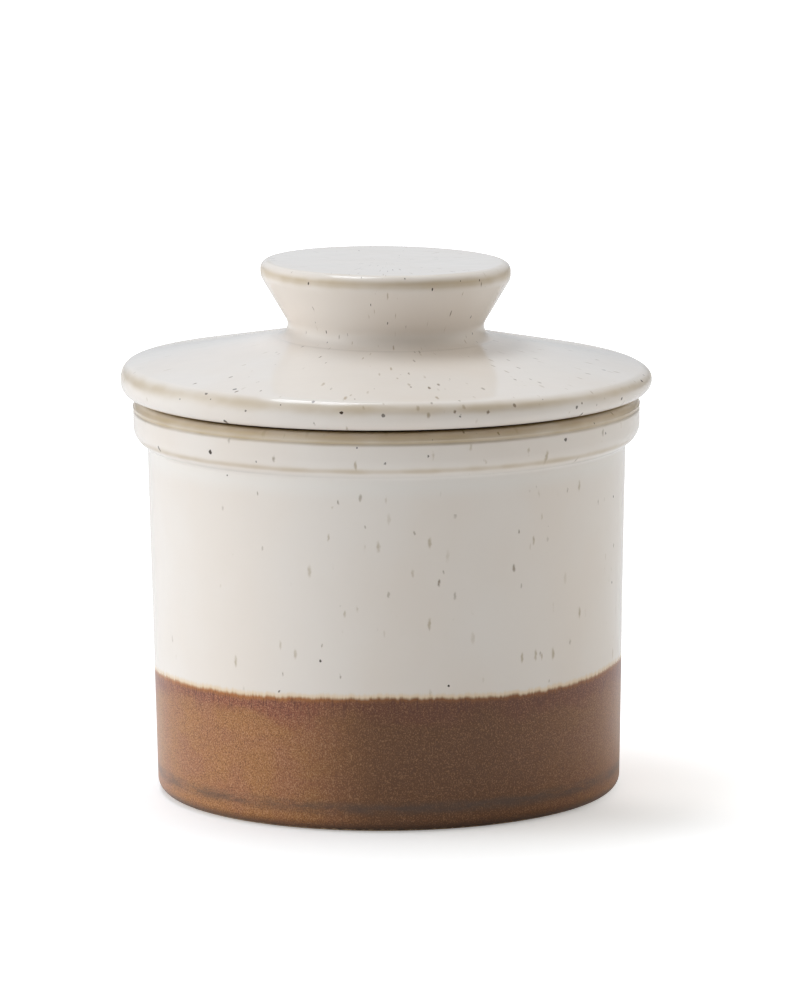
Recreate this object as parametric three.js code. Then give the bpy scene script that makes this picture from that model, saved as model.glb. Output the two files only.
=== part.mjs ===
// A butter crock: a stoneware crock for water, and a lid whose cup, the butter bell, hangs
// upside down inside it. The lid is luted together from three clay parts before firing: a disc
// that rests on the crock's rim, a hollow flared knob on top, and the bell below.
// Millimetres, +Z up. The origin is the centre of the foot ring, on the table.

import * as THREE from "three";

// Driving dimensions. Radii are from the crock's axis and heights are from the table.
const TURN_STEPS = 64; // flat strips round each turned form
const ARC_STEP_DEGREES = 24; // longest step along a rounded corner

const WALL_FOOT_RADIUS = 48.15; // the outer wall widens slightly from its foot to its shoulder
const WALL_SHOULDER_RADIUS = 49.6;
const SHOULDER_HEIGHT = 72.5;
const SHOULDER_ROUND = 1;

const FOOT_ROUND = 2.6;
const FOOT_RING_INNER_RADIUS = 38; // the flat ring that the crock stands on
const FOOT_RECESS = 1.6;
const FOOT_RECESS_SLOPE = 1.5;

const BAND_RADIUS = 52.5; // the thickened band round the rim
const BAND_BOTTOM = 74.3;
const BAND_ROUND = 4.4;
const GROOVE_HEIGHT = 80.05; // the fine line that parts the band from the lip's bead
const GROOVE_DEPTH = 0.35;
const GROOVE_HALF_WIDTH = 0.4;

const RIM_HEIGHT = 82.4; // crest of the rim, where the lid rests
const CREST_RADIUS = 48.4;
const RIM_FALL = 0.5; // the rim falls away from its crest to the outer corner
const RIM_OUTER_ROUND = 1.6;
const RIM_INNER_ROUND = 1.6;
const MOUTH_RADIUS = 45;

const FLOOR_RADIUS = 44;
const FLOOR_HEIGHT = 6;
const FLOOR_ROUND = 7;

const LID_RADIUS = 55;
const LID_EDGE_THICKNESS = 5.95; // where the sloping top would meet the upright edge
const LID_UNDER_RISE = 0.75; // the underside rises from the crest to the lid's edge
const LID_UNDER_ROUND = 2.8;
const LID_TOP_ROUND = 2.8;

const SEAT_RADIUS = 22.5; // the flat seat under the knob, at the top of the lid's slope
const SEAT_HEIGHT = 94.5;
const VENT_RADIUS = 1.25; // lets the air out of the hollow knob in the kiln
const CEILING_HEIGHT = 88.4; // top of the bell's inside, at the vent
const CEILING_EDGE_HEIGHT = 87.2;
const CEILING_ROUND = 4.5;

const KNOB_TOP = 110.65;
const KNOB_RADIUS = 25.9;
const KNOB_RIM_HEIGHT = 107; // where the flare meets the knob's upright rim
const KNOB_RIM_ROUND = 3;
const KNOB_TOP_ROUND = 2;
const NECK_RADIUS = 18.9; // where the flare and the lid's slope would meet, before rounding
const NECK_HEIGHT = 95.18;
const NECK_ROUND = 2.5;
const KNOB_WALL = 4.6;

const BELL_ROOT_RADIUS = 38.5;
const BELL_MOUTH_RADIUS = 33.5;
const BELL_MOUTH_HEIGHT = 20;
const BELL_WALL = 4.3;
const BELL_LIP_ROUND = 1.9;
const BELL_ROOT_ROUND = 2;

const CREAM_GLAZE = "#dcd5cb";
const GLAZE_ROUGHNESS = 0.2;

// A corner of an outline: its radius, its height and how far it is rounded.
function corner(radius, height, rounding = 0) {
  return { point: new THREE.Vector2(radius, height), rounding };
}

// The points of the arc that rounds a corner between its two neighbours.
function roundedCorner(before, at, after) {
  const back = before.point.clone().sub(at.point).normalize();
  const ahead = after.point.clone().sub(at.point).normalize();
  const halfAngle = Math.acos(THREE.MathUtils.clamp(back.dot(ahead), -1, 1)) / 2;
  const turn = Math.PI - 2 * halfAngle;
  const middle = back.clone().add(ahead).normalize();
  const centre = at.point.clone().addScaledVector(middle, at.rounding / Math.sin(halfAngle));
  const start = at.point.clone().addScaledVector(back, at.rounding / Math.tan(halfAngle));
  const side = Math.sign(ahead.cross(back));
  const steps = Math.max(2, Math.ceil(THREE.MathUtils.radToDeg(turn) / ARC_STEP_DEGREES));
  const points = [];
  for (let step = 0; step <= steps; step += 1) {
    const angle = (side * turn * step) / steps;
    points.push(start.clone().rotateAround(centre, angle));
  }
  return points;
}

// Turns a list of corners into the points of a lathe profile.
function profile(corners, isClosed) {
  const points = corners.flatMap((at, index) => {
    if (at.rounding === 0) {
      return [at.point];
    }
    const before = corners[(index + corners.length - 1) % corners.length];
    const after = corners[(index + 1) % corners.length];
    return roundedCorner(before, at, after);
  });
  if (isClosed) {
    points.push(points[0].clone());
  }
  return points;
}

// One turned piece of glazed stoneware. Its outline runs with the clay on its left-hand side,
// from the axis back to the axis, or round on itself where the piece has a hole through it.
function turnedPiece(name, corners, isClosed = false) {
  const geometry = new THREE.LatheGeometry(profile(corners, isClosed), TURN_STEPS);
  geometry.rotateX(Math.PI / 2);
  const glaze = new THREE.MeshStandardMaterial({ color: CREAM_GLAZE, roughness: GLAZE_ROUGHNESS });
  const piece = new THREE.Mesh(geometry, glaze);
  piece.name = name;
  return piece;
}

// The crock: foot ring, tapered wall, rim band with its groove and bead, and the inside.
function crock() {
  return turnedPiece("crock", [
    corner(0, FOOT_RECESS),
    corner(FOOT_RING_INNER_RADIUS - FOOT_RECESS_SLOPE, FOOT_RECESS),
    corner(FOOT_RING_INNER_RADIUS, 0),
    corner(WALL_FOOT_RADIUS, 0, FOOT_ROUND),
    corner(WALL_SHOULDER_RADIUS, SHOULDER_HEIGHT, SHOULDER_ROUND),
    corner(BAND_RADIUS, BAND_BOTTOM, BAND_ROUND),
    corner(BAND_RADIUS, GROOVE_HEIGHT - GROOVE_HALF_WIDTH),
    corner(BAND_RADIUS - GROOVE_DEPTH, GROOVE_HEIGHT),
    corner(BAND_RADIUS, GROOVE_HEIGHT + GROOVE_HALF_WIDTH),
    corner(BAND_RADIUS, RIM_HEIGHT - RIM_FALL, RIM_OUTER_ROUND),
    corner(CREST_RADIUS, RIM_HEIGHT),
    corner(MOUTH_RADIUS, RIM_HEIGHT, RIM_INNER_ROUND),
    corner(FLOOR_RADIUS, FLOOR_HEIGHT, FLOOR_ROUND),
    corner(0, FLOOR_HEIGHT),
  ]);
}

// The disc that covers the crock. Its underside is flat where it rests on the rim. It rises a little
// from there to the lid's edge, and further inside the bell, so that the clay stays evenly thick.
function lidDisc() {
  const ceilingRadius = BELL_ROOT_RADIUS - BELL_WALL;
  const isClosed = true;
  return turnedPiece("lid_disc", [
    corner(VENT_RADIUS, CEILING_HEIGHT),
    corner(ceilingRadius, CEILING_EDGE_HEIGHT, CEILING_ROUND),
    corner(ceilingRadius, RIM_HEIGHT),
    corner(CREST_RADIUS, RIM_HEIGHT),
    corner(LID_RADIUS, RIM_HEIGHT + LID_UNDER_RISE, LID_UNDER_ROUND),
    corner(LID_RADIUS, RIM_HEIGHT + LID_EDGE_THICKNESS, LID_TOP_ROUND),
    corner(SEAT_RADIUS, SEAT_HEIGHT),
    corner(VENT_RADIUS, SEAT_HEIGHT),
  ], isClosed);
}

// The hollow knob, open below where it is luted to the disc. Its flat top is also the foot that
// the lid stands on, upside down, while the bell is being filled.
function knob() {
  const flareSlope = (KNOB_RADIUS - NECK_RADIUS) / (KNOB_RIM_HEIGHT - NECK_HEIGHT);
  const hollowTop = KNOB_TOP - KNOB_WALL;
  const hollowNeckRadius = NECK_RADIUS + NECK_ROUND - KNOB_WALL;
  const hollowTopRadius = hollowNeckRadius + flareSlope * (hollowTop - NECK_HEIGHT - NECK_ROUND);
  return turnedPiece("knob", [
    corner(0, hollowTop),
    corner(hollowTopRadius, hollowTop, NECK_ROUND),
    corner(hollowNeckRadius, NECK_HEIGHT + NECK_ROUND),
    corner(hollowNeckRadius, SEAT_HEIGHT),
    corner(SEAT_RADIUS, SEAT_HEIGHT),
    corner(NECK_RADIUS, NECK_HEIGHT, NECK_ROUND),
    corner(KNOB_RADIUS, KNOB_RIM_HEIGHT, KNOB_RIM_ROUND),
    corner(KNOB_RADIUS, KNOB_TOP, KNOB_TOP_ROUND),
    corner(0, KNOB_TOP),
  ]);
}

// The bell: a tapered cup, open below, whose root is luted to the disc's underside.
function butterBell() {
  const isClosed = true;
  return turnedPiece("butter_bell", [
    corner(BELL_ROOT_RADIUS - BELL_WALL, RIM_HEIGHT),
    corner(BELL_MOUTH_RADIUS - BELL_WALL, BELL_MOUTH_HEIGHT, BELL_LIP_ROUND),
    corner(BELL_MOUTH_RADIUS, BELL_MOUTH_HEIGHT, BELL_LIP_ROUND),
    corner(BELL_ROOT_RADIUS, RIM_HEIGHT - BELL_ROOT_ROUND, BELL_ROOT_ROUND),
    corner(BELL_ROOT_RADIUS + BELL_ROOT_ROUND, RIM_HEIGHT),
  ], isClosed);
}

// The lid lifts off the crock in one piece.
const lid = new THREE.Group();
lid.add(lidDisc(), knob(), butterBell());

const butterCrock = new THREE.Group();
butterCrock.add(crock(), lid);

export default butterCrock;
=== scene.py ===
"""A stoneware butter crock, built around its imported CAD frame.

The crock and the three clay parts of its lid are turned forms. Each is an outline spun round the
crock's axis, with the slight waviness of hand-finished clay, and all of them wear one procedural
glaze. Outlines are in millimetres: a radius from the axis and a height from the table.
"""

import math

import bpy
import numpy as np
from mathutils import Matrix, Vector


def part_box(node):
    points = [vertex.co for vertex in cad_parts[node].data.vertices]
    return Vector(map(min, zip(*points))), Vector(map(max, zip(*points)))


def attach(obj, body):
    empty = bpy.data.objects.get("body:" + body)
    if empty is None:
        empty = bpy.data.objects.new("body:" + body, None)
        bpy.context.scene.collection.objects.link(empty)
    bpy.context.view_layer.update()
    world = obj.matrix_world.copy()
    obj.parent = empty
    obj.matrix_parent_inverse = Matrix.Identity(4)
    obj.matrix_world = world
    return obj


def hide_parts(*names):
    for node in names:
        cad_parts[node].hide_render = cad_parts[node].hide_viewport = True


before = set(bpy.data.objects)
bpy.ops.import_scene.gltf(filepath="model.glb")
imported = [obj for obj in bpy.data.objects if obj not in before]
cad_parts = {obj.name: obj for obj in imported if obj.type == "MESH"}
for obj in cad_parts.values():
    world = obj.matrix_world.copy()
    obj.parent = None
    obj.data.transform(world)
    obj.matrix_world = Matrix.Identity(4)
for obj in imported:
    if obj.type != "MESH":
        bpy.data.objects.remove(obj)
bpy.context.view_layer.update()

MM = 0.001

# How finely the outlines are cut
SPIN_STEPS = 288
LINE_STEP = 1.2  # mm, along straight stretches
ARC_STEP = 0.3  # mm, along rounded corners
SHARP_TURN = math.radians(25)
NOTHING = 1e-6  # mm, what counts as no distance

# Waviness of the clay: lobes round the axis, phase, drift per mm of height, and amount in mm. The
# pieces shrink by all of it, so that they stay inside the CAD box.
WAVES = ((2, 0.6, 0.0, 0.045), (3, 2.1, 0.05, 0.03), (5, 4.0, -0.11, 0.012))
WAVE_ROOM = sum(amount for _, _, _, amount in WAVES)


def low_and_high(node):
    """The lowest and highest corners of a CAD node, in mm."""
    low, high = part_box(node)
    return low / MM, high / MM


# Sizes that the frame gives
CROCK_HIGH = low_and_high("crock")[1]
DISC_HIGH = low_and_high("lid_disc")[1]
KNOB_HIGH = low_and_high("knob")[1]
BELL_LOW = low_and_high("butter_bell")[0]

RIM_HEIGHT = CROCK_HIGH.z
BAND_RADIUS = CROCK_HIGH.x
LID_RADIUS = DISC_HIGH.x
SEAT_HEIGHT = DISC_HIGH.z
KNOB_RADIUS = KNOB_HIGH.x
KNOB_TOP = KNOB_HIGH.z - 0.45  # its mean height: it slopes, and its high side reaches the box's top
BELL_MOUTH_HEIGHT = BELL_LOW.z

# Sizes within the pieces, in mm
WALL_FOOT_RADIUS = 48.15
WALL_SHOULDER_RADIUS = 49.6
SHOULDER_HEIGHT = 72.5
FOOT_RING_INNER_RADIUS = 38.0
FOOT_RECESS = 1.6
BAND_BOTTOM = 74.3
GROOVE_HEIGHT = 80.05
GROOVE_HALF_WIDTH = 0.55
GROOVE_DEPTH = 0.32
BEAD_HEIGHT = 81.2
CREST_RADIUS = 48.4
MOUTH_RADIUS = 45.0
FLOOR_RADIUS = 44.0
FLOOR_HEIGHT = 6.0
LID_EDGE_BOTTOM = RIM_HEIGHT + 0.75
LID_EDGE_TOP = RIM_HEIGHT + 5.95
SEAT_RADIUS = 22.5
CEILING_HEIGHT = 88.4
VENT_RADIUS = 1.25
NECK_RADIUS = 18.9
NECK_HEIGHT = 95.18
NECK_ROUND = 2.5
KNOB_RIM_HEIGHT = 107.0
KNOB_WALL = 4.6
BELL_ROOT_RADIUS = 38.5
BELL_MOUTH_RADIUS = 33.5
BELL_WALL = 4.3


# ---------------------------------------------------------------- outlines and spinning


def corner(radius, height, rounding=0.0):
    """A corner of an outline, and how far it is rounded."""
    return np.array([radius, height], float), rounding


def rounded(before, at, after, rounding):
    """The points of the arc that rounds a corner between its two neighbours."""
    back = (before - at) / np.linalg.norm(before - at)
    ahead = (after - at) / np.linalg.norm(after - at)
    half_angle = math.acos(np.clip(back @ ahead, -1, 1)) / 2
    turn = math.pi - 2 * half_angle
    middle = (back + ahead) / np.linalg.norm(back + ahead)
    centre = at + middle * rounding / math.sin(half_angle)
    arm = at + back * rounding / math.tan(half_angle) - centre
    side = math.copysign(1, ahead[0] * back[1] - ahead[1] * back[0])
    steps = max(6, math.ceil(turn * rounding / ARC_STEP))
    points = []
    for step in range(steps + 1):
        angle = side * turn * step / steps
        cos, sin = math.cos(angle), math.sin(angle)
        points.append(centre + [cos * arm[0] - sin * arm[1], sin * arm[0] + cos * arm[1]])
    return points


def outline(corners, closed):
    """The rings of a turned piece: its corners rounded, and its straight stretches cut up."""
    bends = []
    count = len(corners)
    for index, (at, rounding) in enumerate(corners):
        if rounding:
            before = corners[index - 1][0]
            after = corners[(index + 1) % count][0]
            bends.extend(rounded(before, at, after, rounding))
        else:
            bends.append(at)
    ends = bends[1:] + bends[:1] if closed else bends[1:]
    rings = []
    for start, end in zip(bends, ends):
        steps = max(1, math.ceil(np.linalg.norm(end - start) / LINE_STEP))
        rings.extend(start + (end - start) * step / steps for step in range(steps))
    if not closed:
        rings.append(bends[-1])
    return np.array(rings)


def sharp_rings(rings, closed):
    """Which rings are real edges, where the surface turns too far to shade smoothly."""
    back = rings - np.roll(rings, 1, axis=0)
    ahead = np.roll(rings, -1, axis=0) - rings
    cross = back[:, 0] * ahead[:, 1] - back[:, 1] * ahead[:, 0]
    turn = np.abs(np.arctan2(cross, (back * ahead).sum(axis=1)))
    sharp = turn > SHARP_TURN
    if not closed:
        sharp[[0, -1]] = False
    return sharp


def clay_wave(angle, height):
    """How far the clay stands off its true circle, never outside it, in mm."""
    wave = sum(
        amount * np.sin(lobes * angle + phase + drift * height)
        for lobes, phase, drift, amount in WAVES
    )
    return wave - WAVE_ROOM


# The lid's upper side and the knob slope a little, down towards +X. The slope sets in between
# these two heights on the lid's edge.
LEAN_START = LID_EDGE_BOTTOM + 1.4
LEAN_END = LID_EDGE_TOP
LEAN = 0.017  # mm down for each mm across


def lean(x, height):
    """How far the lid's clay drops at that place, in mm."""
    return x * np.interp(height, (LEAN_START, LEAN_END), (0, LEAN))


def spin(name, corners, closed=False):
    """A turned piece: its outline spun round the axis, with the glaze's values on its points."""
    rings = outline(corners, closed)
    count = len(rings)
    on_axis = rings[:, 0] < NOTHING
    angles = np.arange(SPIN_STEPS) * 2 * math.pi / SPIN_STEPS
    radius = np.repeat(rings[:, 0], SPIN_STEPS)
    height = np.repeat(rings[:, 1], SPIN_STEPS)
    angle = np.tile(angles, count)
    share = np.clip(radius / BELL_MOUTH_RADIUS, 0, 1)  # the wave fades out towards the axis
    wavy = radius + clay_wave(angle, height) * share
    x, y = wavy * np.cos(angle), wavy * np.sin(angle)
    points = np.column_stack([x, y, height - lean(x, height)])

    index = np.arange(count * SPIN_STEPS).reshape(count, SPIN_STEPS)
    index[on_axis] = index[on_axis][:, :1]  # a ring on the axis is a single point
    faces = []
    for ring in range(count if closed else count - 1):
        here, there = index[ring], index[(ring + 1) % count]
        after_here, after_there = np.roll(here, -1), np.roll(there, -1)
        for a, b, c, d in zip(here, after_here, after_there, there):
            face = [int(a)]
            for vertex in (b, c, d):
                if int(vertex) not in face:
                    face.append(int(vertex))
            faces.append(face)

    used = np.zeros(len(points), bool)
    used[np.unique(index)] = True
    place = np.cumsum(used) - 1
    mesh = bpy.data.meshes.new(name)
    mesh.from_pydata(
        (points[used] * MM).tolist(), [], [[int(place[v]) for v in face] for face in faces]
    )
    mesh.polygons.foreach_set("use_smooth", np.ones(len(mesh.polygons), bool))
    mark_sharp(mesh, np.repeat(sharp_rings(rings, closed), SPIN_STEPS)[used], height[used])
    values = glaze_values(radius[used], height[used], angle[used])
    for label, value in values.items():
        attribute = mesh.attributes.new(label, "FLOAT", "POINT")
        attribute.data.foreach_set("value", value.astype(np.float32))
    piece = bpy.data.objects.new(name, mesh)
    bpy.context.scene.collection.objects.link(piece)
    return piece


def mark_sharp(mesh, is_sharp, height):
    """Marks the edges that run along a sharp ring."""
    ends = np.zeros(len(mesh.edges) * 2, np.int32)
    mesh.edges.foreach_get("vertices", ends)
    ends = ends.reshape(-1, 2)
    level = np.abs(height[ends[:, 0]] - height[ends[:, 1]]) < NOTHING
    sharp = is_sharp[ends[:, 0]] & is_sharp[ends[:, 1]] & level
    attribute = mesh.attributes.new("sharp_edge", "BOOLEAN", "EDGE")
    attribute.data.foreach_set("value", sharp)


# ---------------------------------------------------------------- where the glaze is what

# Where the glaze runs thin over an edge, tan up to 1, or pools in a hollow, which is below 0:
# radius, height, reach and amount. Some rings are painted light: the brown up to 2 at the rim's
# crest is painted shade in the gap under the lid, the groove's tan is painted shade with thin glaze,
# and the pool under the band is pooled glaze with a painted sheen.
GLAZE_AND_SHADE_RINGS = (
    (BAND_RADIUS - 0.2, BEAD_HEIGHT, 1.15, 0.6),
    # Painted shade in the groove, with thin glaze
    (BAND_RADIUS, GROOVE_HEIGHT, 0.4, 0.45),
    (BAND_RADIUS - 0.9, BAND_BOTTOM + 0.2, 0.9, 0.6),
    # Glaze pooled under the band, lighter, with a painted sheen
    (WALL_SHOULDER_RADIUS, SHOULDER_HEIGHT - 1.5, 3.0, -0.35),
    # Painted shade: brown in the gap between the rim's crest and the lid, on both pieces
    (CREST_RADIUS, RIM_HEIGHT - 0.1, 2.1, 2.4),
    (LID_RADIUS - 0.5, LID_EDGE_TOP - 1.1, 1.4, 0.5),
    (KNOB_RADIUS, KNOB_RIM_HEIGHT + 1.4, 1.2, 0.6),
    (KNOB_RADIUS - 1.5, KNOB_TOP, 0.5, 0.35),
    (NECK_RADIUS + 1.6, NECK_HEIGHT + 2.0, 2.2, 0.12),
    (BELL_MOUTH_RADIUS - 0.3, BELL_MOUTH_HEIGHT + 0.8, 1.2, 0.9),
    (BELL_MOUTH_RADIUS - BELL_WALL + 0.3, BELL_MOUTH_HEIGHT + 0.8, 1.2, 0.9),
    (BELL_ROOT_RADIUS, RIM_HEIGHT - 0.8, 1.8, -0.5),
)

# The upper edge of the brown dip: its mean height, and the lobes, phase and amount of each wave in
# it. These are a least-squares fit made outside this script, rounded.
DIP_HEIGHT = 26.9
DIP_WAVES = ((1, -1.1, 0.45), (2, -0.4, 0.4), (3, 1.55, 0.45), (5, -0.3, 0.3))
FRONT = -math.pi / 2
FAR_FROM_DIP = 50.0  # mm above the dip: what the inside of the crock counts as

# Where the brown glaze is darker: thick glaze, and at the front and the right also painted shade
# where the light from the left falls away. Degrees round from the front, spread, amount.
THICK_AND_SHADED_PATCHES = ((7, 28, 0.97), (50, 30, 0.6), (-168, 42, 0.8))

# Where the iron flecks gather, in degrees round from the front, and the share of them that is left
# on the far side.
FLECKY_SIDE = 40
FLECKS_LEFT = 0.18
# The flecks fade by these shares on the knob and towards the rim band, between these heights in mm.
KNOB_FADE = 0.6
BAND_FADE = 0.5
FADE_START, FADE_MOST, FADE_END = 58, 72, 80
# The small dark flecks sit on the rims, which start between these radii, and some on the knob, which
# starts between these heights. Few are anywhere else.
RIM_FLECK_RADII = (49.8, 51.5)
KNOB_FLECK_HEIGHTS = (95, 98)
KNOB_DARK_FLECKS = 0.4
RIM_FLECKS_LEFT = 0.08

FOOT_BARE_HEIGHT = 0.45
LIP_BARE_HEIGHT = BELL_MOUTH_HEIGHT + 0.35
LIP_RADIUS = BELL_MOUTH_RADIUS - BELL_WALL / 2


def smooth_step(value, low, high):
    """0 below low, 1 above high, and a smooth rise between them."""
    share = np.clip((value - low) / (high - low), 0, 1)
    return share * share * (3 - 2 * share)


def dip_line(angle):
    """Height of the brown dip's upper edge at each angle round the pot."""
    return DIP_HEIGHT + sum(
        amount * np.cos(lobes * (angle - FRONT) + phase) for lobes, phase, amount in DIP_WAVES
    )


def glaze_values(radius, height, angle):
    """What the glaze does at each point: its thinness, with painted shade and sheen, the dip, how
    thick it lies and its painted shade, the bare clay and the flecks.
    """
    thin_shade_and_sheen = np.zeros_like(radius)
    for ring_radius, ring_height, reach, amount in GLAZE_AND_SHADE_RINGS:
        apart = np.hypot(radius - ring_radius, height - ring_height)
        thin_shade_and_sheen += amount * np.exp(-((apart / reach) ** 2))
    inside = (radius < CREST_RADIUS - 1) & (height > FLOOR_HEIGHT - 1)
    dip = np.where(inside, FAR_FROM_DIP, height - dip_line(angle))
    on_foot = (radius > FOOT_RING_INNER_RADIUS - 0.4) & ~inside
    foot = (1 - smooth_step(height, FOOT_BARE_HEIGHT - 0.3, FOOT_BARE_HEIGHT + 0.3)) * on_foot
    near_lip = (np.abs(height - BELL_MOUTH_HEIGHT) < 1) & (np.abs(radius - LIP_RADIUS) < 2.6)
    lip = (1 - smooth_step(height, LIP_BARE_HEIGHT - 0.2, LIP_BARE_HEIGHT + 0.3)) * near_lip
    around = np.degrees(angle - FRONT)
    # Darker brown where it lies thick, and painted shade at the front and the right
    thick_and_shade = np.zeros_like(radius)
    for middle, spread, amount in THICK_AND_SHADED_PATCHES:
        apart = (around - middle + 180) % 360 - 180
        thick_and_shade += amount * np.exp(-((apart / spread) ** 2))
    rich = smooth_step(np.cos(np.radians(around - FLECKY_SIDE)), -0.3, 0.85)
    fade = smooth_step(height, FADE_START, FADE_MOST) * (1 - smooth_step(height, FADE_MOST, FADE_END))
    rich *= 1 - BAND_FADE * fade
    rich *= 1 - KNOB_FADE * smooth_step(height, SEAT_HEIGHT, SEAT_HEIGHT + 2)
    on_rim = smooth_step(radius, *RIM_FLECK_RADII)
    on_knob = KNOB_DARK_FLECKS * smooth_step(height, *KNOB_FLECK_HEIGHTS)
    edge = np.maximum(on_rim, on_knob)
    return {
        "glaze_thin_shade_and_sheen": thin_shade_and_sheen,
        "above_dip": dip,
        "bare_clay": np.maximum(foot, lip),
        "dip_thick_and_shade": thick_and_shade,
        "fleck_rich": FLECKS_LEFT + (1 - FLECKS_LEFT) * rich,
        "edge_fleck": RIM_FLECKS_LEFT + (1 - RIM_FLECKS_LEFT) * edge,
    }


# ---------------------------------------------------------------- pieces


def crock():
    """Foot ring, tapered wall, rim band with its groove and bead, and the glazed inside."""
    return spin("crock_pot", [
        corner(0, FOOT_RECESS),
        corner(FOOT_RING_INNER_RADIUS - 1.5, FOOT_RECESS, 1.0),
        corner(FOOT_RING_INNER_RADIUS, 0, 0.5),
        corner(WALL_FOOT_RADIUS, 0, 2.6),
        corner(WALL_SHOULDER_RADIUS, SHOULDER_HEIGHT, 1.0),
        corner(BAND_RADIUS, BAND_BOTTOM, 4.4),
        corner(BAND_RADIUS, GROOVE_HEIGHT - GROOVE_HALF_WIDTH, 0.5),
        corner(BAND_RADIUS - GROOVE_DEPTH, GROOVE_HEIGHT, 0.4),
        corner(BAND_RADIUS, GROOVE_HEIGHT + GROOVE_HALF_WIDTH, 0.35),
        corner(BAND_RADIUS, RIM_HEIGHT - 0.5, 2.0),
        corner(CREST_RADIUS, RIM_HEIGHT, 6),
        corner(MOUTH_RADIUS, RIM_HEIGHT, 1.6),
        corner(FLOOR_RADIUS, FLOOR_HEIGHT, 7),
        corner(0, FLOOR_HEIGHT),
    ])


def lid_plate():
    """The disc of the lid, with its bullnose edge and the ceiling of the bell."""
    ceiling_radius = BELL_ROOT_RADIUS - BELL_WALL
    return spin("lid_plate", [
        corner(VENT_RADIUS, CEILING_HEIGHT, 0.4),
        corner(ceiling_radius, CEILING_HEIGHT - 1.2, 4.5),
        corner(ceiling_radius, RIM_HEIGHT),
        corner(CREST_RADIUS, RIM_HEIGHT, 6),
        corner(LID_RADIUS, LID_EDGE_BOTTOM, 2.8),
        corner(LID_RADIUS, LID_EDGE_TOP, 2.8),
        corner(SEAT_RADIUS, SEAT_HEIGHT),
        corner(VENT_RADIUS, SEAT_HEIGHT),
    ], closed=True)


def lid_knob():
    """The hollow flared knob, whose flat top is the lid's foot when it is turned over."""
    hollow_top = KNOB_TOP - KNOB_WALL
    hollow_neck = NECK_RADIUS + NECK_ROUND - KNOB_WALL
    slope = (KNOB_RADIUS - NECK_RADIUS) / (KNOB_RIM_HEIGHT - NECK_HEIGHT)
    return spin("lid_knob", [
        corner(0, hollow_top),
        corner(hollow_neck + slope * (hollow_top - NECK_HEIGHT - NECK_ROUND), hollow_top, 2.0),
        corner(hollow_neck, NECK_HEIGHT + NECK_ROUND),
        corner(hollow_neck, SEAT_HEIGHT),
        corner(SEAT_RADIUS, SEAT_HEIGHT),
        corner(NECK_RADIUS, NECK_HEIGHT, NECK_ROUND),
        corner(KNOB_RADIUS, KNOB_RIM_HEIGHT, 3.0),
        corner(KNOB_RADIUS, KNOB_TOP, 1.7),
        corner(0, KNOB_TOP),
    ])


def bell_cup():
    """The butter bell: a tapered cup, open below, with a bare lip that it was fired on."""
    return spin("bell_cup", [
        corner(BELL_ROOT_RADIUS - BELL_WALL, RIM_HEIGHT),
        corner(BELL_MOUTH_RADIUS - BELL_WALL, BELL_MOUTH_HEIGHT, 1.9),
        corner(BELL_MOUTH_RADIUS, BELL_MOUTH_HEIGHT, 1.9),
        corner(BELL_ROOT_RADIUS, RIM_HEIGHT - 2, 2),
        corner(BELL_ROOT_RADIUS + 2, RIM_HEIGHT),
    ], closed=True)


# ---------------------------------------------------------------- glaze


def rgb(red, green, blue):
    """A colour given in 8-bit sRGB, as the linear colour that a socket takes."""
    def linear(value):
        share = value / 255
        return share / 12.92 if share <= 0.04045 else ((share + 0.055) / 1.055) ** 2.4

    return linear(red), linear(green), linear(blue), 1.0


# The flecks' pattern is laid out round a tube of this radius in mm, so a fleck is narrower near the
# axis. Along the form, a millimetre of height counts as this many.
FLOW_RADIUS = 40.0
HEIGHT_COUNTS = 2.0


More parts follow.
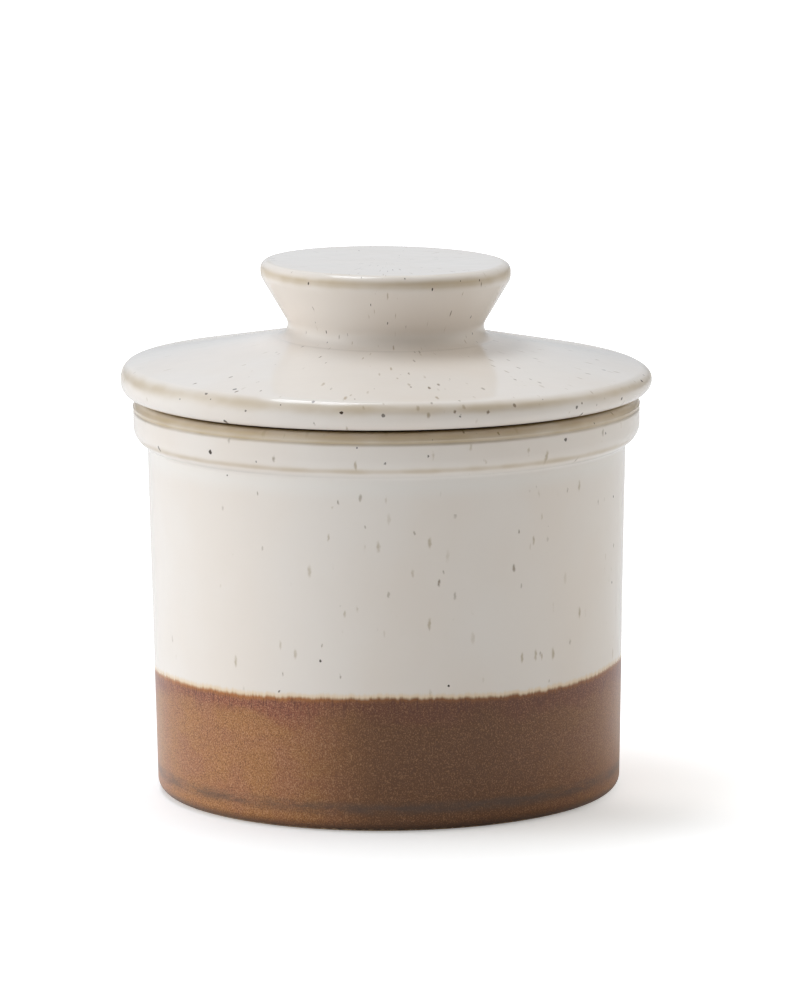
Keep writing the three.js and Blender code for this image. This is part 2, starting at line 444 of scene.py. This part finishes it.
class Graph:
    """The nodes of one material or world, so that it reads as a list of steps."""

    def __init__(self, tree):
        self.nodes = tree.nodes
        self.links = tree.links
        self.nodes.clear()

    def add(self, kind, inputs=(), **settings):
        node = self.nodes.new(kind)
        for setting, value in settings.items():
            setattr(node, setting, value)
        for socket, value in dict(inputs).items():
            if isinstance(value, bpy.types.NodeSocket):
                self.links.new(value, node.inputs[socket])
            else:
                node.inputs[socket].default_value = value
        return node

    def point(self):
        """Where the point is on the piece, in mm."""
        place = self.add("ShaderNodeTexCoord").outputs["Object"]
        scaled = self.add(
            "ShaderNodeVectorMath", {0: place, "Scale": 1 / MM}, operation="SCALE"
        )
        return scaled.outputs["Vector"]

    def value(self, attribute):
        """One of the values that the mesh carries on its points."""
        node = self.add("ShaderNodeAttribute", attribute_name=attribute)
        return node.outputs["Fac"]

    def math(self, operation, first, second=0.0):
        return self.add("ShaderNodeMath", {0: first, 1: second}, operation=operation).outputs[0]

    def step(self, value, low, high, to_low=0.0, to_high=1.0):
        """A smooth step from to_low, at low, to to_high, at high."""
        inputs = {0: value, 1: low, 2: high, 3: to_low, 4: to_high}
        node = self.add("ShaderNodeMapRange", inputs, interpolation_type="SMOOTHSTEP")
        return node.outputs[0]

    def mix(self, share, first, second):
        inputs = {0: share, 6: first, 7: second}
        return self.add("ShaderNodeMix", inputs, data_type="RGBA").outputs[2]

    def flow(self, point):
        """The point with the way down the turned form as its Z, to draw flecks out along it."""
        flat = self.add("ShaderNodeVectorMath", {0: point, 1: (1, 1, 0)}, operation="MULTIPLY")
        out = self.add("ShaderNodeVectorMath", {0: flat.outputs[0]}, operation="LENGTH")
        way = self.add("ShaderNodeVectorMath", {0: flat.outputs[0]}, operation="NORMALIZE")
        ring = self.add(
            "ShaderNodeVectorMath", {0: way.outputs[0], "Scale": FLOW_RADIUS}, operation="SCALE"
        )
        height = self.add("ShaderNodeSeparateXYZ", {0: point}).outputs["Z"]
        down = self.math("SUBTRACT", out.outputs["Value"], self.math("MULTIPLY", height, HEIGHT_COUNTS))
        along = self.add("ShaderNodeCombineXYZ", {"Z": down})
        return self.add("ShaderNodeVectorMath", {0: ring.outputs[0], 1: along.outputs[0]}).outputs[0]

    def stretch(self, point, size):
        """The point measured in cells of that size, in mm along X, Y and Z."""
        node = self.add("ShaderNodeVectorMath", {0: point, 1: size}, operation="DIVIDE")
        return node.outputs["Vector"]

    def noise(self, point, size, detail=2.0, roughness=0.5):
        """Smooth noise, with lumps of that size in mm."""
        inputs = {
            "Vector": self.stretch(point, size),
            "Scale": 1.0,
            "Detail": detail,
            "Roughness": roughness,
        }
        return self.add("ShaderNodeTexNoise", inputs)

    def flecks(self, point, cell, radius, blur, share, shift):
        """Scattered flecks, one at most in each cell: 1 in the middle of a fleck, 0 between."""
        aside = (shift, shift * 1.7, shift * 0.6)
        moved = self.add("ShaderNodeVectorMath", {0: point, 1: aside})
        cells = self.add(
            "ShaderNodeTexVoronoi", {"Vector": self.stretch(moved.outputs[0], cell), "Scale": 1.0}
        )
        chance = self.add("ShaderNodeSeparateColor", {0: cells.outputs["Color"]})
        size = self.step(chance.outputs[0], 0, 1, radius * 0.7, radius * 1.3)
        inner = self.math("MULTIPLY", size, 1 - blur)
        spot = self.step(cells.outputs["Distance"], size, inner)
        kept = self.math("LESS_THAN", chance.outputs[1], share)
        depth = self.step(chance.outputs[2], 0, 1, 1 - 0.9 * blur, 1.0)
        return self.math("MULTIPLY", self.math("MULTIPLY", spot, kept), depth)


CREAM = rgb(234, 227, 219)
CREAM_WARM = rgb(233, 224, 214)
# Lighter where the glaze pools; under the band also a painted sheen
GLAZE_POOL_AND_SHEEN = rgb(236, 234, 229)
TAN = rgb(190, 169, 132)
# Brown painted shade in the gap between the rim and the lid
GAP_SHADE_BROWN = rgb(92, 68, 46)

# The brown dip: each pair is mottled together
OCHRES = rgb(168, 112, 58), rgb(164, 106, 66)
RED_BROWNS = rgb(150, 84, 54), rgb(143, 80, 58)
# Dark brown where it lies thick, and painted shade at the front and the right
THICK_SHADED_OCHRE = rgb(98, 58, 16)
THICK_SHADED_RED = rgb(100, 54, 22)
AMBER = rgb(172, 108, 48)
# Dark amber where it lies thick, and painted shade at the front and the right
THICK_SHADED_AMBER = rgb(132, 80, 32)
DARK_GRAIN = rgb(78, 46, 28)
PALE_GRAIN = rgb(196, 148, 108)
DARK_STREAK = rgb(84, 42, 26)
DIP_HALO = rgb(224, 190, 134)
FOOT_LINE = rgb(72, 60, 52)
FOOT_SHADE = rgb(58, 36, 22)

BARE_CLAY = rgb(196, 172, 142)
DARK_CLAY = rgb(168, 140, 108)

GLAZE_ROUGHNESS = 0.13
BROWN_ROUGHNESS = 0.3
CLAY_ROUGHNESS = 0.8

# Places in the brown dip, in mm: how far below its edge the red gives way to ochre, and the dark
# line and the shade at the foot, above the table
RED_ENDS, RED_BEGINS = -6.5, -2.0
FOOT_LINE_HEIGHT = 5.0
FOOT_LINE_REACH = 2.0
FOOT_SHADE_TOP = 2.8

# Iron flecks, drawn out the way the glaze ran: cell size in the units of Graph.flow (across,
# across, along), radius in cells, softness, where they are common, the share of cells there that
# has one, a shift that sets the pattern, colour and strength
WALL_FLECKS = (
    ((2.2, 2.2, 16), 0.17, 0.75, "fleck_rich", 0.9, 3.0, rgb(156, 134, 86), 0.55),
    ((2.5, 2.5, 14), 0.12, 0.65, "fleck_rich", 0.85, 41.0, rgb(112, 90, 44), 0.72),
    ((2.8, 2.8, 9), 0.1, 0.3, "edge_fleck", 0.9, 77.0, rgb(52, 36, 24), 0.95),
)
LID_FLECKS = (
    ((1.8, 1.8, 8.5), 0.18, 0.7, "fleck_rich", 0.9, 11.0, rgb(160, 138, 104), 0.65),
    ((2.2, 2.2, 8.5), 0.13, 0.5, "fleck_rich", 0.75, 53.0, rgb(112, 90, 62), 0.8),
    ((2.6, 2.6, 7), 0.1, 0.3, "edge_fleck", 0.9, 91.0, rgb(52, 34, 22), 0.95),
)


def cream_colour(g, point, fleck_kinds):
    """The cream glaze: faintly clouded, tan where it runs thin, lighter where it pools, with iron
    flecks, and painted light: painted shade in the lid's gap, brown, and in the groove, tan, and a
    painted sheen under the band.
    """
    cloud = g.noise(point, (22, 22, 30), 2).outputs["Fac"]
    colour = g.mix(g.step(cloud, 0.35, 0.7), CREAM, CREAM_WARM)
    thin_shade_and_sheen = g.value("glaze_thin_shade_and_sheen")
    # Lighter where the glaze pools, with a painted sheen under the band
    colour = g.mix(g.step(thin_shade_and_sheen, -0.05, -0.7), colour, GLAZE_POOL_AND_SHEEN)
    uneven = g.noise(point, (8, 8, 4), 2).outputs["Fac"]
    # Tan where the glaze runs thin, with painted shade in the groove; brown painted shade in the gap
    # under the lid
    thin_and_shade = g.math("ADD", thin_shade_and_sheen, g.step(uneven, 0.3, 0.7, -0.07, 0.07))
    colour = g.mix(g.step(thin_and_shade, 0.05, 0.95), colour, TAN)
    colour = g.mix(g.step(thin_and_shade, 1.0, 1.9), colour, GAP_SHADE_BROWN)
    bend = g.noise(point, (0.9, 0.9, 0.9), 2)
    bent = g.add("ShaderNodeVectorMath", {0: bend.outputs["Color"], "Scale": 0.5}, operation="SCALE")
    run = g.add("ShaderNodeVectorMath", {0: g.flow(point), 1: bent.outputs["Vector"]}).outputs[0]
    for cell, radius, blur, where, share, shift, fleck_colour, strength in fleck_kinds:
        common = g.math("MULTIPLY", g.value(where), share)
        spot = g.flecks(run, cell, radius, blur, common, shift)
        colour = g.mix(g.math("MULTIPLY", spot, strength), colour, fleck_colour)
    return colour


def brown_colour(g, point, above_dip):
    """The brown dip: amber at its edge, then red-brown, then mottled ochre down to the foot, darker
    where it lies thick and with painted shade at the front and the right.
    """
    thick_and_shade = g.value("dip_thick_and_shade")
    drift = g.noise(point, (16, 16, 9), 3).outputs["Fac"]
    depth = g.math("ADD", above_dip, g.step(drift, 0.3, 0.7, -2.2, 2.2))
    mottle = g.noise(point, (9, 9, 7), 3).outputs["Fac"]
    ochre = g.mix(g.step(mottle, 0.35, 0.65), *OCHRES)
    red = g.mix(g.step(mottle, 0.35, 0.65), *RED_BROWNS)
    colour = g.mix(g.step(depth, RED_ENDS, RED_BEGINS), ochre, red)
    dark = g.mix(g.step(depth, RED_ENDS, RED_BEGINS), THICK_SHADED_OCHRE, THICK_SHADED_RED)
    # Darker where it lies thick, and painted shade at the front and the right
    colour = g.mix(g.step(thick_and_shade, 0.0, 1.0), colour, dark)
    grain = g.noise(point, (0.21, 0.21, 0.28), 1, 0.5).outputs["Fac"]
    speckle = g.step(thick_and_shade, 0.0, 1.0, 0.62, 0.3)
    colour = g.mix(g.math("MULTIPLY", g.step(grain, 0.5, 0.66), speckle), colour, DARK_GRAIN)
    colour = g.mix(g.math("MULTIPLY", g.step(grain, 0.5, 0.32), speckle), colour, PALE_GRAIN)
    streaks = g.noise(point, (0.36, 0.36, 2.6), 1, 0.5).outputs["Fac"]
    near_edge = g.math("MULTIPLY", g.step(above_dip, -6.0, -1.0), g.step(above_dip, 0.2, -0.6))
    streak = g.math("MULTIPLY", g.step(streaks, 0.5, 0.68), near_edge)
    amber = g.mix(g.step(thick_and_shade, 0.0, 1.0), AMBER, THICK_SHADED_AMBER)
    colour = g.mix(g.step(above_dip, -1.2, -0.2, 0.0, 0.9), colour, amber)
    return g.mix(g.math("MULTIPLY", streak, 0.55), colour, DARK_STREAK)


def dipped_colour(g, point, cream):
    """The cream glaze with the brown dip over its foot, and how far the brown covers it."""
    ragged = g.noise(point, (1.1, 1.1, 6.0), 2, 0.6).outputs["Fac"]
    level = g.math("ADD", g.value("above_dip"), g.step(ragged, 0.3, 0.7, -0.22, 0.22))
    covered = g.step(level, 0.45, -0.35)
    colour = g.mix(g.step(level, 1.3, 0.2, 0.0, 0.6), cream, DIP_HALO)
    colour = g.mix(covered, colour, brown_colour(g, point, level))
    height = g.add("ShaderNodeSeparateXYZ", {0: point}).outputs["Z"]
    broken = g.noise(point, (7.0, 7.0, 1.6), 3, 0.65).outputs["Fac"]
    from_line = g.math("ABSOLUTE", g.math("SUBTRACT", height, FOOT_LINE_HEIGHT))
    line = g.step(from_line, FOOT_LINE_REACH, 0.1)
    line = g.math("MULTIPLY", line, g.step(broken, 0.3, 0.6, 0.25, 1.0))
    line = g.math("MULTIPLY", line, covered)
    colour = g.mix(g.math("MULTIPLY", line, 0.6), colour, FOOT_LINE)
    # Painted shade, darker towards the table
    shade = g.math("MULTIPLY", g.step(height, FOOT_SHADE_TOP, 0.5, 0.0, 0.7), covered)
    return g.mix(shade, colour, FOOT_SHADE), covered


def new_material(name):
    material = bpy.data.materials.new(name)
    material.use_nodes = True
    return material


def glaze(name, dipped, fleck_kinds):
    """Glossy stoneware glaze, with bare clay where it was wiped off."""
    material = new_material(name)
    g = Graph(material.node_tree)
    point = g.point()
    colour = cream_colour(g, point, fleck_kinds)
    roughness = GLAZE_ROUGHNESS
    ripple = g.noise(point, (6, 6, 6), 2).outputs["Fac"]
    skin = g.math("MULTIPLY", ripple, 0.06)
    if dipped:
        colour, covered = dipped_colour(g, point, colour)
        roughness = g.step(covered, 0.0, 1.0, GLAZE_ROUGHNESS, BROWN_ROUGHNESS)
        grain = g.noise(point, (0.4, 0.4, 0.6), 2).outputs["Fac"]
        skin = g.math("ADD", skin, g.math("MULTIPLY", grain, g.math("MULTIPLY", covered, 0.03)))
    bare_edge = g.noise(point, (1.2, 1.2, 1.2), 3).outputs["Fac"]
    ragged = g.math("ADD", g.value("bare_clay"), g.step(bare_edge, 0.3, 0.7, -0.3, 0.3))
    bare = g.step(ragged, 0.4, 0.6)
    clay_grain = g.noise(point, (0.5, 0.5, 0.5), 3, 0.7).outputs["Fac"]
    clay = g.mix(g.step(clay_grain, 0.4, 0.65), BARE_CLAY, DARK_CLAY)
    colour = g.mix(bare, colour, clay)
    roughness = g.step(bare, 0.0, 1.0, roughness, CLAY_ROUGHNESS)
    bump = g.add("ShaderNodeBump", {"Height": skin, "Distance": MM, "Strength": 0.6})
    shader = g.add("ShaderNodeBsdfPrincipled", {
        "Base Color": colour,
        "Roughness": roughness,
        "IOR": 1.5,
        "Normal": bump.outputs["Normal"],
    })
    g.add("ShaderNodeOutputMaterial", {"Surface": shader.outputs[0]})
    return material


# ---------------------------------------------------------------- studio

# The camera: its place in metres, how far it looks down and leans over, and its lens in mm
CAMERA_PLACE = (0.0027, -1.3, 0.2771)
CAMERA_PITCH = math.radians(9.476)
CAMERA_ROLL = math.radians(-0.35)
CAMERA_LENS = 228.6


def camera():
    """The camera at the front, looking down a little."""
    data = bpy.data.cameras.new("camera")
    data.lens = CAMERA_LENS
    data.clip_end = 50
    item = bpy.data.objects.new("camera", data)
    item.location = CAMERA_PLACE
    upright = Matrix.Rotation(math.pi / 2 - CAMERA_PITCH, 3, "X")
    item.rotation_euler = (upright @ Matrix.Rotation(CAMERA_ROLL, 3, "Z")).to_euler()
    bpy.context.scene.collection.objects.link(item)
    bpy.context.scene.camera = item


# The floor's glow near the pot, the brightnesses of the studio's lights and their tints started as
# a least-squares fit made outside this script. They were then rounded or changed.

# How much the floor glows in the picture: more on the side that the pot shades, between the two
# values of how far that side is faced, and more again far off, between the two distances in mm
FLOOR_SIZE = 12.0  # m
FLOOR_GLOW = 0.3
FLOOR_GLOW_SHADED = 0.48
SHADED_WAY = (0.9, 0.44, 0.0)
SHADED_FACING = (0.45, 0.85)
FLOOR_GLOW_FAR = 0.5
FAR_DISTANCES = (100, 260)


def floor():
    """A plain white floor that glows a little in the picture, so that it melts into the backdrop."""
    half = FLOOR_SIZE / 2
    mesh = bpy.data.meshes.new("floor")
    mesh.from_pydata(
        [(-half, -half, 0), (half, -half, 0), (half, half, 0), (-half, half, 0)], [], [(0, 1, 2, 3)]
    )
    item = bpy.data.objects.new("floor", mesh)
    bpy.context.scene.collection.objects.link(item)
    paper = new_material("floor_paper")
    g = Graph(paper.node_tree)
    outward = g.add("ShaderNodeVectorMath", {0: g.point()}, operation="NORMALIZE").outputs[0]
    shaded = g.add("ShaderNodeVectorMath", {0: outward, 1: SHADED_WAY}, operation="DOT_PRODUCT")
    near = g.step(shaded.outputs["Value"], *SHADED_FACING, FLOOR_GLOW, FLOOR_GLOW_SHADED)
    away = g.add("ShaderNodeVectorMath", {0: g.point()}, operation="LENGTH").outputs["Value"]
    glow = g.math("ADD", near, g.step(away, *FAR_DISTANCES, 0.0, FLOOR_GLOW_FAR))
    seen = g.add("ShaderNodeLightPath").outputs["Is Camera Ray"]
    shader = g.add("ShaderNodeBsdfPrincipled", {
        "Base Color": (0.96, 0.96, 0.96, 1),
        "Roughness": 0.9,
        "Specular IOR Level": 0.0,
        "Emission Color": (1, 1, 1, 1),
        "Emission Strength": g.math("MULTIPLY", glow, seen),
    })
    g.add("ShaderNodeOutputMaterial", {"Surface": shader.outputs[0]})
    mesh.materials.append(paper)


COOL = (0.95, 1.0, 1.07)
PLAIN = (1.0, 1.0, 1.0)
CREAMY = (1.03, 1.0, 0.95)
WARM = (1.05, 1.0, 0.91)

# Glowing patches of the white studio: the way to each one, as the angle round from the camera's
# side through the left and as the height above the horizon, then how tight it is, how bright, what
# share of it shows in mirror reflections, and its colour.
GLOWS = (
    (90, 10, 10, 3.8, 0.25, COOL),
    (60, 10, 10, 1.5, 0.6, CREAMY),
    (180, 10, 10, 0.66, 1.0, COOL),
    (240, 10, 10, 0.46, 1.0, WARM),
    (270, 10, 10, 1.75, 0.6, CREAMY),
    (0, 50, 10, 0.35, 1.0, WARM),
    (60, 50, 10, 0.5, 1.0, PLAIN),
    (180, 50, 10, 0.9, 1.0, COOL),
    (240, 50, 10, 0.8, 1.0, WARM),
)
BACKDROP_BRIGHTNESS = 1.1

# The softbox: its place and its width and depth, in metres
SOFTBOX_PLACE = (-0.2, 0.08, 0.9)
SOFTBOX_SIZE = (0.5, 0.3)
SOFTBOX_BRIGHTNESS = 5.8


def way_to(around, height):
    """The direction at that angle round from the camera's side, and height, in degrees."""
    around, height = math.radians(around), math.radians(height)
    flat = math.cos(height)
    return -math.sin(around) * flat, -math.cos(around) * flat, math.sin(height)


def sky():
    """Soft light from glowing patches all round. The camera itself sees plain white."""
    world = bpy.data.worlds.new("studio")
    world.use_nodes = True
    bpy.context.scene.world = world
    g = Graph(world.node_tree)
    direction = g.add("ShaderNodeTexCoord").outputs["Generated"]
    mirrored = g.add("ShaderNodeLightPath").outputs["Is Glossy Ray"]
    light = None
    for around, height, tightness, brightness, in_gloss, colour in GLOWS:
        facing = g.add(
            "ShaderNodeVectorMath", {0: direction, 1: way_to(around, height)}, operation="DOT_PRODUCT"
        )
        toward = g.math("MAXIMUM", facing.outputs["Value"], 0.0)
        strength = g.math("MULTIPLY", g.math("POWER", toward, tightness), brightness)
        if in_gloss < 1:
            dimmed = g.step(mirrored, 0.0, 1.0, 1.0, in_gloss)
            strength = g.math("MULTIPLY", strength, dimmed)
        patch = g.add("ShaderNodeBackground", {"Color": (*colour, 1), "Strength": strength})
        if light is None:
            light = patch
        else:
            light = g.add("ShaderNodeAddShader", {0: light.outputs[0], 1: patch.outputs[0]})
    white = {"Color": (*PLAIN, 1), "Strength": BACKDROP_BRIGHTNESS}
    backdrop = g.add("ShaderNodeBackground", white)
    seen = g.add("ShaderNodeLightPath").outputs["Is Camera Ray"]
    mix = g.add("ShaderNodeMixShader", {0: seen, 1: light.outputs[0], 2: backdrop.outputs[0]})
    g.add("ShaderNodeOutputWorld", {"Surface": mix.outputs[0]})


def softbox():
    """A softbox overhead, a little to the left, that draws the highlights along the edges."""
    width, depth = SOFTBOX_SIZE
    data = bpy.data.lights.new("softbox", "AREA")
    data.shape = "RECTANGLE"
    data.size = width
    data.size_y = depth
    data.energy = SOFTBOX_BRIGHTNESS * math.pi * width * depth
    data.color = COOL
    item = bpy.data.objects.new("softbox", data)
    item.location = SOFTBOX_PLACE
    item.rotation_euler = (-Vector(SOFTBOX_PLACE)).to_track_quat("-Z", "Y").to_euler()
    bpy.context.scene.collection.objects.link(item)


def studio():
    camera()
    floor()
    sky()
    softbox()
    bpy.context.scene.view_settings.view_transform = "Standard"


# ---------------------------------------------------------------- assembly

studio()

dipped_glaze = glaze("dipped_glaze", True, WALL_FLECKS)
lid_glaze = glaze("lid_glaze", False, LID_FLECKS)
# Each piece, the body it rides on, the CAD node it stands for, its material slot and its material
pieces = (
    (crock(), "crock", "crock", "crock_glaze", dipped_glaze),
    (lid_plate(), "lid", "lid_disc", "lid_glaze", lid_glaze),
    (lid_knob(), "lid", "knob", "lid_glaze", lid_glaze),
    (bell_cup(), "lid", "butter_bell", "lid_glaze", lid_glaze),
)
for piece, body, node, slot, material in pieces:
    piece.data.materials.append(material)
    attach(piece, body)
    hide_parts(node)
